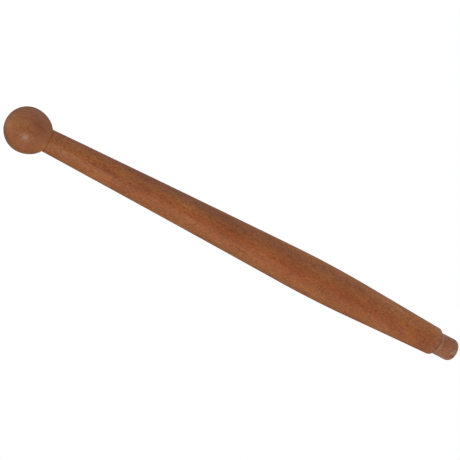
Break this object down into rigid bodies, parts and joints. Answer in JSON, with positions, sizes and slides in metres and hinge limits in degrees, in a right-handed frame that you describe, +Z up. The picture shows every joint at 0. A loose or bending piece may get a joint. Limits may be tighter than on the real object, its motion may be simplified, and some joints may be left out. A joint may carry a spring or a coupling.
{
  "type": "meat mallet",
  "caption": "Turned hardwood mallet: a ball head on a long shaft that swells towards the butt, then steps down at a rounded shoulder to a short round-ended spigot.",
  "frame": {"origin": "On the turning axis, in the plane of the butt where the spigot leaves the shaft.", "axes": "+X runs along the turning axis from the ball to the spigot and out of the spigot's end. +Z is up as the mallet lies on its side, and +Y completes a right-handed frame."},
  "size_m": [0.5, 0.0436, 0.0436],
  "materials": {
    "oiled_wood": "oiled reddish-brown hardwood with a soft sheen and fine open pores along the grain",
    "bare_wood": "the same hardwood left bare, paler and nearly matt",
    "wedge_wood": "bare pale hardwood, matt"
  },
  "bodies": {
    "root": {"ball_head": "oiled_wood", "handle_shaft": "oiled_wood", "head_wedge": "wedge_wood", "butt_spigot": "bare_wood"}
  },
  "joints": []
}
